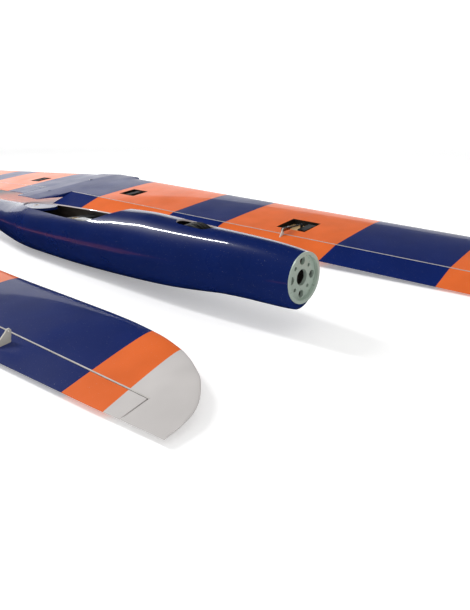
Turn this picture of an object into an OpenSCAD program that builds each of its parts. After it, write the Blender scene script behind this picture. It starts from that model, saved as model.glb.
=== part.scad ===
// Electric sailplane kit, laid out on a table: fuselage with V-tail, one-piece
// wing centre panel lying bottom side up, and the two plug-in outer panels.
// Units are millimetres. +X is forward (nose), +Y is towards the wing centre
// panel, +Z is up. The origin is the centre of the motor plate's front face, in
// the nose ring; the table is ring_z below it.

/* [Nose] */
// Outer diameter of the nose ring
ring_d = 43; // [40:0.5:46]
// Height of the nose ring's centre above the table
ring_z = 47.5; // [44:0.5:50]
// Depth of the recess in front of the motor plate
recess = 3.1; // [2:0.1:5]
// Bolt circle of the motor screws
motor_pcd = 25; // [22:0.5:27]

/* [Fuselage] */
// Length from the nose ring to the end of the tail boom
fuselage_len = 1340; // [1300:10:1400]
// Wall thickness of the pod
wall = 1.6; // [1.2:0.1:2.2]
// Outer radius of the tail boom at its front end
boom_r1 = 17; // [16.8:0.1:17.2]
// Outer radius of the tail boom at its rear end
boom_r2 = 9; // [8:0.5:11]

/* [V-tail] */
// Angle of each tail half above the horizontal
vee = 37; // [34:1:42]
// Span of one tail half
tail_span = 225; // [200:5:240]
// Root chord of the tail
tail_root = 105; // [100:1:112]
// Tip chord of the tail
tail_tip = 68; // [60:1:75]
// Hinge line of the ruddervators, as a fraction of the chord
tail_hinge = 0.66; // [0.62:0.01:0.7]

/* [Wing centre panel] */
// Half span of the centre panel
half_span = 890; // [880:5:920]
// Chord at the centre line
root_chord = 201; // [198:1:204]
// Chord lost for each millimetre of half span
taper = 0.055; // [0.05:0.001:0.06]
// Thickness of the airfoil, as a fraction of the chord
thick = 0.088; // [0.085:0.001:0.095]
// Camber of the airfoil, as a fraction of the chord
camber = 0.016; // [0.01:0.001:0.02]
// Dihedral of each half, in degrees
dihedral = 2.07; // [2:0.01:2.3]
// Nose-up tilt of the panel as it lies, in degrees
tilt = 5.87; // [5.5:0.01:6]
// Hinge line of the flaps and ailerons, as a fraction of the chord
hinge_f = 0.757; // [0.75:0.001:0.765]
// Deflection at which the right flap lies, in degrees; the left one lies straight
droop = 13.9; // [12:0.1:15]
// Deflection at which the right aileron lies, its tip on the table, in degrees
aileron_droop = 10.6; // [5:0.1:14]

/* [Outer panel] */
// Length of an outer panel from its root to the aileron's outboard end
outer_len = 620; // [600:5:640]
// Diameter of the carbon joiner rods
joiner_d = 8; // [7:0.5:8]

/* [Hidden] */
eps = 0.01;
navy = "#22335f";
orange = "#ef7646";
pale = "#d0ccca";

// ---------- shared functions ----------
function half_thick(x, t) =
  5 * t * (0.2969 * sqrt(x) - 0.126 * x - 0.3516 * x * x + 0.2843 * pow(x, 3) - 0.1015 * pow(x, 4)) + 0.0012;
function camber_z(x, m) =
  x < 0.4 ? m / 0.16 * (0.8 * x - x * x) : m / 0.36 * (0.2 + 0.8 * x - x * x);
// The wing lies bottom up: the face on top is the flatter, lower side
function face_up(x, t, m) = half_thick(x, t) - camber_z(x, m);
function face_down(x, t, m) = -half_thick(x, t) - camber_z(x, m);
function bunch(a, b, u) = a + (b - a) * (1 - cos(90 * u));
function mix(a, b, u) = a + (b - a) * u;

// Section from fraction a to b of the chord: up face forwards to aft, then back along the down face.
// nose_cut moves the first point of the down face aft, which leaves room under a hinge.
function section(a, b, c, t, m, n, nose_cut = 0) = concat(
  [for (i = [0 : n]) let (x = bunch(a, b, i / n)) [c * x, c * face_up(x, t, m)]],
  [for (i = [n : -1 : a == 0 ? 1 : 0])
     let (x = bunch(a + nose_cut, b, i / n)) [c * x, c * face_down(x, t, m)]]);

// Colour of a piece, and its place in the part's frame: the modules below measure
// x from the ring's rim and z from the table
module finish(c) {
  color(c) translate([recess, 0, -ring_z]) children();
}

// Solid skin over a list of closed rings with the same number of points
module skin(rings) {
  n = len(rings[0]);
  k = len(rings);
  polyhedron(
    points = [for (r = rings) each r],
    faces = concat(
      [[for (i = [0 : n - 1]) i]],
      [for (j = [0 : k - 2]) for (i = [0 : n - 1])
         let (a = j * n + i, b = j * n + (i + 1) % n) each [[a, a + n, b], [b, a + n, b + n]]],
      [[for (i = [n - 1 : -1 : 0]) (k - 1) * n + i]]),
    convexity = 8);
}

// ---------- fuselage ----------
// x, half width, crown height, centre height, belly height
POD = [
  [-1.2, 21.5, 69, 47.5, 26], [-4, 21.8, 69.4, 47.4, 20.2], [-14, 22.8, 70.7, 47.2, 19.2],
  [-30, 24.1, 72.2, 46.8, 18.6], [-50, 25.6, 73.3, 46.2, 18.1], [-80, 27.9, 74.4, 45.3, 16.4],
  [-105, 30.2, 75, 44.4, 13.4], [-130, 32.4, 76, 43.5, 10.4], [-160, 34.4, 77.3, 42.5, 7.5],
  [-195, 35.3, 78.6, 41.3, 5.2], [-230, 35.7, 77.8, 40.1, 3.4], [-265, 36.1, 75.6, 39, 2],
  [-300, 36.6, 73.9, 38.1, 0.9], [-340, 37, 72.2, 37.3, 0.1], [-385, 37, 69.2, 36.9, 0],
  [-427, 36.6, 66.3, 36.7, 0], [-448, 35.7, 64.1, 36.8, 0.6], [-465, 34.4, 61.9, 37, 1.4],
  [-490, 31.6, 59.2, 37.4, 4], [-520, 28, 57.8, 38, 8.4], [-560, 23.6, 57.2, 38.8, 14.6],
  [-600, 19.9, 57, 39.6, 19.8], [-640, 17, 57, 40, 23]];
pod_end = POD[len(POD) - 1][0];
pod_sides = 32;
axis_z = 40;
seat_z = 62;
ring_r = ring_d / 2;

// One ring of the pod, shrunk by g
function pod_ring(p, g) = [for (i = [0 : pod_sides - 1])
  let (a = -360 * i / pod_sides, up = sin(a) >= 0)
  [p[0], (p[1] - g) * cos(a), p[3] + (up ? p[2] - p[3] - g : p[3] - p[4] - g) * sin(a)]];

module pod_solid(g = 0) {
  skin([for (p = POD) pod_ring(p, g)]);
}

// Side outline of what the wing seat cuts away, swept across the pod
module seat_cut() {
  translate([0, 60, 0]) rotate([90, 0, 0]) linear_extrude(120)
    polygon([[-470, 61.6], [-285, seat_z], [-268, 65], [-252, 70.4], [-240, 74.6], [-228, 78.2],
      [-215, 90], [-470, 90]]);
}

module slot_z(x1, x2, w, z1, z2) {
  translate([x1, 0, z1]) cylinder(d = w, h = z2 - z1, $fn = 48);
  translate([x2, 0, z1]) cylinder(d = w, h = z2 - z1, $fn = 48);
  translate([min(x1, x2), -w / 2, z1]) cube([abs(x2 - x1), w, z2 - z1]);
}

module fuselage_pod() {
  finish(navy) difference() {
    pod_solid();
    intersection() {
      pod_solid(wall);
      translate([-560, -60, 0]) cube([556, 120, 100]);
    }
    translate([-8, 0, ring_z]) rotate([0, 90, 0]) cylinder(r = ring_r - 1.5, h = 10, $fn = 64);
    seat_cut();
    slot_z(-139, -111, 19, 60, 90);
    // tunnels that let the two tail rods through the solid tail end
    for (side = [-1, 1])
      translate([-645, side * rod_y, rod_z]) rotate([0, 90, 0]) cylinder(r = 1.6, h = 90, $fn = 24);
  }
}

module tail_boom() {
  finish(navy) difference() {
    translate([pod_end, 0, axis_z]) rotate([0, -90, 0])
      cylinder(r1 = boom_r1, r2 = boom_r2, h = fuselage_len + pod_end, $fn = 64);
    translate([pod_end + eps, 0, axis_z]) rotate([0, -90, 0])
      cylinder(r1 = boom_r1 - 1.3, r2 = boom_r2 - 1.3, h = fuselage_len + pod_end - 6, $fn = 64);
    for (x = tail_pins) for (side = [-1, 1])
      tail_frame(side) tail_pin(x, 0, 14, 0.03);
  }
}

module along_x(x, z = ring_z) {
  translate([x, 0, z]) rotate([0, 90, 0]) children();
}

module nose_ring() {
  plate_t = 3;
  finish("#b9c0b8") difference() {
    union() {
      along_x(-1.2) cylinder(r = ring_r, h = 1.2, $fn = 96);
      along_x(-8) cylinder(r = ring_r - 1.52, h = 8, $fn = 96);
    }
    along_x(-recess) cylinder(r = ring_r - 2.9, h = recess + eps, $fn = 96);
    along_x(-10) cylinder(r = ring_r - 3.5, h = 10 - recess - plate_t, $fn = 96);
    along_x(-10) cylinder(r = 6.85, h = 12, $fn = 64);
    for (a = [0 : 90 : 270]) rotate_about_ring(a) translate([0, 0, 14]) along_x(-10, 0)
      cylinder(r = 3.4, h = 12, $fn = 48);
    for (a = [45 : 90 : 315]) rotate_about_ring(a) translate([0, 0, motor_pcd / 2]) along_x(-10, 0)
      cylinder(r = 1.6, h = 12, $fn = 32);
  }
}

module rotate_about_ring(a) {
  translate([0, 0, ring_z]) rotate([a, 0, 0]) children();
}

// Plate that fills the inside of the pod between x1 and x2 and z1 and z2
module in_pod(x1, x2, z1, z2) {
  intersection() {
    pod_solid(wall);
    translate([x1, -60, z1]) cube([x2 - x1, 120, z2 - z1]);
  }
}

module front_former() {
  finish("#c9a877") difference() {
    in_pod(-212, -209, 0, 90);
    along_x(-215, 46) cylinder(r = 20, h = 10, $fn = 48);
  }
}

module rear_former() {
  finish("#c9a877") difference() {
    in_pod(-481, -478, 0, 90);
    along_x(-485, axis_z) cylinder(r = 13, h = 10, $fn = 48);
  }
}

bolt_front_x = -343;
bolt_rear_x = -440;

module seat_plate_front() {
  finish("#2a2b2c") difference() {
    in_pod(-352, -334, 51, 55);
    translate([bolt_front_x, 0, 40]) cylinder(r = 4, h = 30, $fn = 32);
  }
}

module seat_plate_rear() {
  finish(navy) difference() {
    intersection() {
      in_pod(-464, -404, 57.5, 61);
      slot_z(-470, -423, 38, 50, 70);
    }
    translate([bolt_rear_x, 0, 40]) cylinder(r = 4, h = 30, $fn = 32);
  }
}

module wing_bolt_inserts() {
  finish("#b58f3d") for (p = [[bolt_front_x, 47.5, 55], [bolt_rear_x, 53.5, 61]])
    translate([p[0], 0, p[1]]) difference() {
      cylinder(r = 4, h = p[2] - p[1], $fn = 48);
      translate([0, 0, -1]) cylinder(r = 2.1, h = 20, $fn = 48);
    }
}

tray_z = 30;
tail_servo_x = -246;
tail_arm = 8.5;
rod_y = 6.3;
rod_z = 42;

module servo_tray() {
  finish("#c9a877") difference() {
    in_pod(-330, -215, tray_z - 2, tray_z);
    for (y = [-14.5, 1.5]) translate([tail_servo_x - 0.2, y, tray_z - 5]) cube([24, 13, 10]);
  }
}

module tail_servos() {
  finish("#1d1e20") for (y = [-14.4, 1.6]) translate([tail_servo_x, y, 0]) {
    translate([0, 0, 14]) cube([23.6, 12.8, 21]);
    translate([-2, 0, tray_z]) cube([27.6, 12.8, 1.4]);
    translate([6, 6.4, 35]) cylinder(r = 4.5, h = 3, $fn = 32);
  }
}

module tail_servo_arm(side) {
  y = side * 8;
  finish("#e6e3da") translate([tail_servo_x + 6, y, 38.1]) difference() {
    union() {
      cylinder(r = 3.4, h = 2, $fn = 32);
      translate([-1.9, side > 0 ? 0 : -11, 0]) cube([3.8, 11, 2]);
    }
    hull() for (d = [-0.4, 0.9]) translate([0, side * (tail_arm + d), -1]) cylinder(r = 0.84, h = 4, $fn = 24);
  }
}

// Steel wire that runs from the servo arm to the tail, inside the boom
module tail_rod(side) {
  y = side * rod_y;
  x = tail_servo_x + 6;
  finish("#9b9da0") {
    translate([-1210, y, rod_z]) rotate([0, 90, 0]) cylinder(r = 0.9, h = x + 1210 + 0.9, $fn = 24);
    translate([x, y, rod_z]) rotate([side > 0 ? -90 : 90, 0, 0]) cylinder(r = 0.8, h = 8 - rod_y + tail_arm, $fn = 24);
    translate([x, side * (8 + tail_arm), 37.4]) cylinder(r = 0.76, h = 4.6, $fn = 24);
  }
}

module receiver() {
  finish("#c8c9cb") translate([-312, -19.2, tray_z]) cube([62, 11.6, 30.4]);
  finish("#e9e9e6") translate([-306, -18.2, tray_z + 30.4]) cube([50, 9.6, 0.6]);
}

module speed_controller() {
  finish("#26292c") intersection() {
    in_pod(-200, -138, 4, 22);
    translate([-200, -13, 0]) cube([62, 26, 40]);
  }
}

// Three motor leads that loop up under the oval opening
module motor_leads() {
  loop_r = 21;
  finish("#17181a") for (y = [-6, 0, 6]) translate([-125, y, 53.5 - abs(y) * 0.12]) rotate([90, 0, 0])
    rotate_extrude(angle = 180, $fn = 64) translate([loop_r, 0]) circle(r = 2.3, $fn = 24);
  finish("#17181a") for (y = [-6, 0, 6]) {
    translate([-125 - loop_r, y, 22]) cylinder(r = 2.3, h = 31.5 - abs(y) * 0.12, $fn = 24);
    translate([-125 + loop_r, y, 37]) cylinder(r = 2.3, h = 16.5 - abs(y) * 0.12, $fn = 24);
  }
}

// ---------- V-tail ----------
tail_le = -(fuselage_len - tail_root - 5);
tail_s0 = boom_r2 + 1.6;
tail_pins = [-1262, -1284];

// Frame of one tail half: x aft along the chord, y outboard along the span, z across the surface
module tail_frame(side) {
  translate([0, 0, axis_z]) rotate([side * vee, 0, 0]) scale([1, side, 1]) children();
}
function tail_chord(s) = mix(tail_root, tail_tip, (s - tail_s0) / tail_span);
function tail_edge(s) = tail_le - 0.16 * (s - tail_s0);

module tail_part(a, b, s1, s2, nose_cut = 0) {
  steps = 6;
  skin([for (j = [0 : steps]) let (s = mix(s2, s1, j / steps), c = tail_chord(s),
      q = section(a, b, c, 0.075, 0, 14, nose_cut))
    [for (p = q) [tail_edge(s) - p[0], s, p[1]]]]);
}

// Joiner pin across the boom at x, from span a to b
module tail_pin(x, a, b, gap = 0) {
  translate([x, a, 0]) rotate([-90, 0, 0]) cylinder(r = 1.5 + gap, h = b - a, $fn = 32);
}

module mirror_if(side) {
  if (side > 0) children();
  else mirror([0, 1, 0]) children();
}

module tail_half(side) {
  finish(orange) mirror_if(side) translate([0, 0, axis_z]) rotate([vee, 0, 0]) difference() {
    union() {
      tail_part(0, tail_hinge - 0.008, tail_s0, tail_s0 + tail_span);
      tail_part(0, 1, tail_s0 + tail_span - 7, tail_s0 + tail_span);
    }
    for (x = tail_pins) tail_pin(x, 0, 60);
  }
}

module ruddervator(side) {
  finish(navy) mirror_if(side) translate([0, 0, axis_z]) rotate([vee, 0, 0])
    tail_part(tail_hinge, 1, tail_s0 + 3, tail_s0 + tail_span - 7.6);
}

module ruddervator_horn(side) {
  s = tail_s0 + 14;
  x = tail_edge(s) - tail_chord(s) * tail_hinge;
  finish("#e6e3da") mirror_if(side) translate([0, 0, axis_z]) rotate([vee, 0, 0])
    translate([x, s, -2]) rotate([90, 0, 0]) linear_extrude(1.4)
      polygon([[-9, 0], [0, 0], [1.5, -9], [-1.5, -9]]);
}

module tail_joiner_rods() {
  finish("#222426") for (x = tail_pins) translate([0, 0, axis_z]) for (side = [-1, 1])
    mirror_if(side) rotate([vee, 0, 0]) tail_pin(x, 3.2, 58, -0.02);
}

// ---------- wing centre panel ----------
wing_x = -742;
wing_y = 346.5;
wing_z = 54.6;
sweep = 0.004;
centre_half = 52;
nose_extra = 12;
tail_extra = 19;

function chord(s) = root_chord - taper * abs(s);
// Span s, distance c aft of the leading edge, height z off the chord
function wing_pt(s, c, z) = [
  wing_x + s * cos(dihedral),
  wing_y - sweep * abs(s) - c * cos(tilt) - z * sin(tilt),
  wing_z - abs(s) * sin(dihedral) - c * sin(tilt) + z * cos(tilt)];

module on_wing(s, c, z = 0) {
  translate(wing_pt(s, c, z)) rotate([tilt, sign(s) * dihedral, 0]) children();
}

function extra_at(s) = let (a = abs(s)) a > centre_half ? 0 : a < 39 ? 1 : (centre_half - a) / (centre_half - 39);

// Everything ahead of the hinge line, longer at the nose where it meets the fuselage
module wing_front() {
  st = [-half_span, -66, -59, 0, 59, 66, half_span];
  skin([for (s = st) let (c = chord(s), e = abs(s) < 60 ? nose_extra : 0, b = hinge_f - 0.0045)
    [for (p = section(0, b, c, thick, camber, 22))
      wing_pt(s, p[0] - e * pow(1 - p[0] / (b * c), 2), p[1])]]);
}

// Fixed trailing edge in the middle, a little inside the skin ahead of it
module wing_middle() {
  skin([for (s = [-centre_half, -39, 0, 39, centre_half]) let (c = chord(s), e = extra_at(s) * tail_extra)
    [for (p = section(0.62, 1, c, thick * 0.97, camber, 12))
      wing_pt(s, p[0] + e * pow(max(0, p[0] / c - 0.62) / 0.38, 2), p[1])]]);
}

// Bays: span of the middle, fraction of the chord, size along span and chord
BAY_FLAP = [178.5, 0.484, 41, 35];
BAY_AILERON = [556.5, 0.514, 47, 41];
bay_depth = 10.5;
servo_sink = bay_depth - 1.3;
bolt_c = [70, 168];

module bay_box(side, bay, g = 0, depth = bay_depth) {
  s = side * bay[0];
  c = chord(s) * bay[1];
  on_wing(s, c, chord(s) * face_up(bay[1], thick, camber) - depth)
    translate([-bay[2] / 2 - g, -bay[3] / 2 - g, 0]) cube([bay[2] + 2 * g, bay[3] + 2 * g, depth + 4]);
}

module joiner_hole(side, c, r, len) {
  on_wing(side * (half_span + 0.5), c, -0.8) rotate([0, -side * 90, 0]) cylinder(r = r, h = len, $fn = 48);
}

module wing_panel() {
  finish(orange) difference() {
    union() {
      wing_front();
      wing_middle();
    }
    for (side = [-1, 1]) {
      bay_box(side, BAY_FLAP);
      bay_box(side, BAY_AILERON);
      joiner_hole(side, 50, joiner_d / 2 + 0.5, 120);
      joiner_hole(side, 88, 2.5, 60);
    }
    for (c = bolt_c) on_wing(eps, c) translate([0, 0, -20]) cylinder(r = 5, h = 40, $fn = 48);
  }
}

module wing_bolt_bushes() {
  finish("#d9d6cd") for (c = bolt_c) let (x = c / root_chord, up = root_chord * face_up(x, thick, camber),
      down = root_chord * face_down(x, thick, camber))
    on_wing(eps, c) translate([0, 0, down + 0.3]) difference() {
      cylinder(r = 5, h = up - down - 0.6, $fn = 48);
      translate([0, 0, -1]) cylinder(r = 2.6, h = 30, $fn = 48);
    }
}

// Tubes that take the outer panels' rods
module joiner_sleeves() {
  finish("#222426") for (side = [-1, 1]) difference() {
    union() {
      joiner_hole(side, 50, joiner_d / 2 + 0.5, 120);
      joiner_hole(side, 88, 2.5, 60);
    }
    on_wing(side * (half_span + 1), 50, -0.8) rotate([0, -side * 90, 0])
      cylinder(r = joiner_d / 2 + 0.03, h = 118, $fn = 48);
    on_wing(side * (half_span + 1), 88, -0.8) rotate([0, -side * 90, 0])
      cylinder(r = 2.03, h = 58, $fn = 48);
  }
}

// Thin plywood tray on the floor of each bay
module bay_frames() {
  finish("#c9a877") for (side = [-1, 1]) for (bay = [BAY_FLAP, BAY_AILERON]) difference() {
    bay_box(side, bay, -0.1, bay_depth - 0.1);
    bay_box(side, [bay[0], bay[1], bay[2] - 3, bay[3] - 3], 0, bay_depth - 1.3);
    cut_above(side, bay, 3);
  }
}

module cut_above(side, bay, h) {
  s = side * bay[0];
  on_wing(s, chord(s) * bay[1], chord(s) * face_up(bay[1], thick, camber) - bay_depth + h)
    translate([-40, -40, 0]) cube([80, 80, 40]);
}

// Slim wing servo standing at offset o in its bay: case and output boss that points to the root
module wing_servo(side, bay, o) {
  s = side * bay[0];
  on_wing(s, chord(s) * bay[1], chord(s) * face_up(bay[1], thick, camber) - servo_sink)
    translate([side * o, -2, 0]) {
      translate([-6, -14, 0]) cube([12, 28, 9]);
      translate([-side * 6, 0, 4.6]) rotate([0, -side * 90, 0]) cylinder(r = 2.6, h = 2, $fn = 32);
    }
}

module flap_servos() {
  finish("#1b1c1e") for (side = [-1, 1]) wing_servo(side, BAY_FLAP, 2);
}

module aileron_servos() {
  finish("#b9bcc0") for (side = [-1, 1]) wing_servo(side, BAY_AILERON, 15);
}

// ---------- flaps and ailerons on the centre panel ----------
flap_span = [54, 448];
aileron_span = [450, half_span - 2];

// The control surface hangs on the up face's edge; its nose slopes away underneath
module hung_surface(side, span, sag = droop) {
  n = 12;
  ends = side > 0 ? [span[0], span[1]] : [-span[1], -span[0]];
  skin([for (s = ends) let (c = chord(s), hz = c * face_up(hinge_f, thick, camber), hc = c * hinge_f,
      q = section(hinge_f + 0.0015, 1, c, thick, camber, n, 0.026))
    [for (p = q) let (u = p[0] - hc, v = p[1] - hz)
      wing_pt(s, hc + u * cos(sag) + v * sin(sag), hz - u * sin(sag) + v * cos(sag))]]);
}

module flap(side) {
  finish(orange) hung_surface(side, flap_span, side > 0 ? droop : 0);
}

module aileron(side) {
  finish(orange) hung_surface(side, aileron_span, side > 0 ? aileron_droop : 0);
}

// Horn, servo arm and rod stand in one plane, a parallelogram of equal arms
linkage_s = BAY_AILERON[0] + 3.6;
arm_off = 2.4;
arm_len = 6.5;
linkage_c = chord(linkage_s);
hinge_c = linkage_c * hinge_f;
hinge_z = linkage_c * face_up(hinge_f, thick, camber);
servo_c = chord(BAY_AILERON[0]) * BAY_AILERON[1] + 2;
servo_z = chord(BAY_AILERON[0]) * face_up(BAY_AILERON[1], thick, camber) - servo_sink + 4.6;

module aileron_horn(side) {
  finish("#efeae0") on_wing(side * linkage_s, hinge_c, hinge_z)
    translate([-0.8, 0, 0]) rotate([90, 0, 90]) linear_extrude(1.6)
      difference() {
        polygon([[-9, -2.6], [-1, -0.6], [2, arm_len], [1.2, arm_len + 1.8], [-1.2, arm_len + 1.8],
          [-3, arm_len - 1]]);
        translate([0, arm_len]) circle(r = 0.8, $fn = 24);
      }
}

module servo_arm(side) {
  finish("#efeae0") on_wing(side * (linkage_s + arm_off), servo_c, servo_z)
    translate([-0.8, 0, 0]) rotate([90, 0, 90]) difference() {
      union() {
        cylinder(r = 3.2, h = 1.6, $fn = 32);
        linear_extrude(1.6) polygon([[-2.6, 0], [2.6, 0], [1.6, arm_len + 1.6], [-1.6, arm_len + 1.6]]);
      }
      translate([0, arm_len, -1]) cylinder(r = 0.8, h = 4, $fn = 24);
    }
}

// Threaded rod with a clevis at the horn and a bent end in the servo arm
module aileron_rod(side) {
  run = hinge_c - servo_c;
  rise = hinge_z - servo_z;
  run_len = sqrt(run * run + rise * rise);
  finish("#dedad0") on_wing(side * linkage_s, hinge_c, hinge_z + arm_len) rotate([atan2(-rise, run), 0, 0]) {
    for (x = [-1.75, 1.15]) translate([x, -2.2, -2]) cube([0.6, 15, 4]);
    translate([-1.75, 9, -2]) cube([3.5, 5, 4]);
    rotate([0, 90, 0]) translate([0, 0, -1.7]) cylinder(r = 0.72, h = 3.4, $fn = 24);
    translate([0, 13, 0]) rotate([-90, 0, 0]) cylinder(r = 1.5, h = 5, $fn = 24);
  }
  finish("#4a4c50") on_wing(side * linkage_s, hinge_c, hinge_z + arm_len) rotate([atan2(-rise, run), 0, 0]) {
    translate([0, 17, 0]) rotate([-90, 0, 0]) cylinder(r = 1, h = run_len - 17 + 0.7, $fn = 24);
    translate([0, run_len, 0]) rotate([0, side * 90, 0]) cylinder(r = 0.72, h = arm_off + 1.4, $fn = 24);
  }
}

// ---------- outer panels ----------
outer_root = -outer_len;
outer_gap = 200;
outer_mirror_x = outer_root - outer_gap / 2;
aileron_end = 0;
// x, leading edge y, trailing edge y, leading edge height
OUTER = [[outer_root, -106, -254, 10.25], [-460, -104, -236.5, 10.05], [-300, -102, -217.5, 10.45],
  [-180, -100.2, -203.6, 12.25], [-120, -99.8, -196.6, 13.45], [-60, -103.4, -189.4, 14.45],
  [-28, -109.8, -185.6, 14.45], [-12, -115.4, -183.4, 13.95], [0, -121.4, -181.6, 13.25]];
TIP = [[-0.6, -121.2, -181.7, 13.25], [8, -125.8, -180.6, 12.45], [17, -133.6, -179.2, 11.25],
  [25, -142.6, -178.2, 9.65], [30.5, -152.4, -177.7, 8.05], [33, -163.4, -177.4, 6.45], [33.8, -175.4, -177.2, 5.55]];
outer_te_z = 3.85;
outer_thick = 0.08;
outer_camber = 0.012;

function outer_hinge(x) = -160.8 + 0.064 * x;
function at(list, x, k) = lookup(x, [for (p = list) [p[0], p[k]]]);
// Row of the panel at x: leading edge y and z, chord and tilt
function outer_row(list, x) = let (ly = at(list, x, 1), ty = at(list, x, 2), lz = at(list, x, 3))
  [x, ly, lz, norm([ly - ty, lz - outer_te_z]), atan2(lz - outer_te_z, ly - ty)];
function outer_pt(r, c, z) = [r[0], r[1] - c * cos(r[4]) - z * sin(r[4]), r[2] - c * sin(r[4]) + z * cos(r[4])];
function outer_hinge_f(r) = (r[1] - outer_hinge(r[0])) / (r[3] * cos(r[4]));
function outer_t(r) = min(outer_thick, 0.6 / max(r[3], 1) + outer_thick * 0.93);

module outer_skin(list, full) {
  skin([for (p = list) let (r = outer_row(list, p[0]), b = full ? 1 : outer_hinge_f(r) - 0.7 / r[3])
    [for (q = section(0, b, r[3], outer_t(r), outer_camber, 18)) outer_pt(r, q[0], q[1])]]);
}

function outer_hole_row(x) = outer_row(OUTER, x);

module outer_rod(c, r, len, inside) {
  row = outer_hole_row(outer_root);
  p = outer_pt(row, c, -0.8);
  translate([outer_root - inside, p[1], p[2]]) rotate([0, 90, 0]) cylinder(r = r, h = len, $fn = 48);
}

module outer_panel_shape() {
  difference() {
    union() {
      outer_skin(OUTER, false);
      outer_skin(TIP, true);
      skin([for (x = [outer_root, outer_root + 34]) let (r = outer_row(OUTER, x))
        [for (q = section(0, 1, r[3], outer_t(r), outer_camber, 18)) outer_pt(r, q[0], q[1])]]);
    }
    outer_rod(50, joiner_d / 2, 120, 1);
    outer_rod(88, 2, 60, 1);
    outer_bay(0);
  }
}

outer_bay_x = -300;
module outer_bay(g, depth = 7.4) {
  row = outer_row(OUTER, outer_bay_x);
  z = row[3] * face_up(0.45, outer_thick, outer_camber);
  p = outer_pt(row, row[3] * 0.45, z - depth);
  translate(p) rotate([row[4], 0, 0]) translate([-14 - g, -13 - g, 0]) cube([28 + 2 * g, 26 + 2 * g, depth + 4]);
}

module outer_servo_shape() {
  row = outer_row(OUTER, outer_bay_x);
  z = row[3] * face_up(0.45, outer_thick, outer_camber);
  p = outer_pt(row, row[3] * 0.45, z - 7.4);
  translate(p) rotate([row[4], 0, 0]) {
    translate([-12, -12, 0.2]) cube([24, 24, 6.4]);
    translate([-14, -13, 6.7]) cube([28, 26, 0.6]);
  }
}

module outer_joiner_shape() {
  outer_rod(50, joiner_d / 2 - 0.02, 119 + 90, 90);
  outer_rod(88, 1.98, 58 + 22, 22);
}

module outer_aileron_shape() {
  list = [outer_root + 35, -460, -300, -180, -120, -60, -28, -12, -1.2];
  skin([for (x = list) let (r = outer_row(OUTER, x), f = outer_hinge_f(r), t = outer_t(r))
    [for (q = section(f + 0.25 / r[3], 1, r[3], t, outer_camber, 12, 0.03)) outer_pt(r, q[0], q[1])]]);
}

outer_horn_x = -147;
module outer_horn_shape() {
  r = outer_row(OUTER, outer_horn_x);
  f = outer_hinge_f(r);
  p = outer_pt(r, r[3] * f, r[3] * face_up(f, outer_t(r), outer_camber));
  translate(p) rotate([r[4], 0, 0]) translate([0, 0, 0]) rotate([90, 0, 90]) linear_extrude(1.6) difference() {
    polygon([[-22, -1.6], [-8, -1], [-5.2, 9], [-6.2, 10.6], [-8.2, 10.6], [-10, 8.6]]);
    translate([-7.2, 9]) circle(r = 0.8, $fn = 24);
  }
}

// The left outer panel is the mirror image, further aft in the same row
module outer_side(side) {
  if (side > 0) children();
  else translate([2 * outer_mirror_x, 0, 0]) mirror([1, 0, 0]) children();
}

module outer_panel(side) {
  finish(navy) outer_side(side) outer_panel_shape();
}

module outer_joiner_rods(side) {
  finish("#222426") outer_side(side) outer_joiner_shape();
}

module outer_aileron(side) {
  finish(navy) outer_side(side) outer_aileron_shape();
}

module outer_horn(side) {
  finish("#efeae0") outer_side(side) outer_horn_shape();
}

module outer_servo(side) {
  finish(navy) outer_side(side) outer_servo_shape();
}

fuselage_pod();
tail_boom();
nose_ring();
front_former();
rear_former();
seat_plate_front();
seat_plate_rear();
wing_bolt_inserts();
servo_tray();
tail_servos();
receiver();
speed_controller();
motor_leads();
tail_servo_arm(1);  // tail_servo_arm_left
tail_servo_arm(-1);  // tail_servo_arm_right
tail_rod(1);  // tail_rod_left
tail_rod(-1);  // tail_rod_right
tail_joiner_rods();
tail_half(1);  // tail_half_left
tail_half(-1);  // tail_half_right
ruddervator(1);  // ruddervator_left
ruddervator(-1);  // ruddervator_right
ruddervator_horn(1);  // ruddervator_horn_left
ruddervator_horn(-1);  // ruddervator_horn_right
wing_panel();
wing_bolt_bushes();
joiner_sleeves();
bay_frames();
flap_servos();
aileron_servos();
flap(-1);  // flap_left
flap(1);  // flap_right
aileron(-1);  // aileron_left
aileron(1);  // aileron_right
aileron_horn(-1);  // aileron_horn_left
aileron_horn(1);  // aileron_horn_right
servo_arm(-1);  // servo_arm_left
servo_arm(1);  // servo_arm_right
aileron_rod(-1);  // aileron_rod_left
aileron_rod(1);  // aileron_rod_right
outer_panel(-1);  // outer_panel_left
outer_panel(1);  // outer_panel_right
outer_joiner_rods(-1);  // outer_joiner_rods_left
outer_joiner_rods(1);  // outer_joiner_rods_right
outer_aileron(-1);  // outer_aileron_left
outer_aileron(1);  // outer_aileron_right
outer_horn(-1);  // outer_horn_left
outer_horn(1);  // outer_horn_right
outer_servo(-1);  // outer_servo_left
outer_servo(1);  // outer_servo_right
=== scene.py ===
"""Looks of an electric sailplane kit laid out on a table, in the CAD model's frame."""

import logging
import math
from dataclasses import dataclass, field
from enum import Enum
from typing import Callable, Sequence

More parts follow.
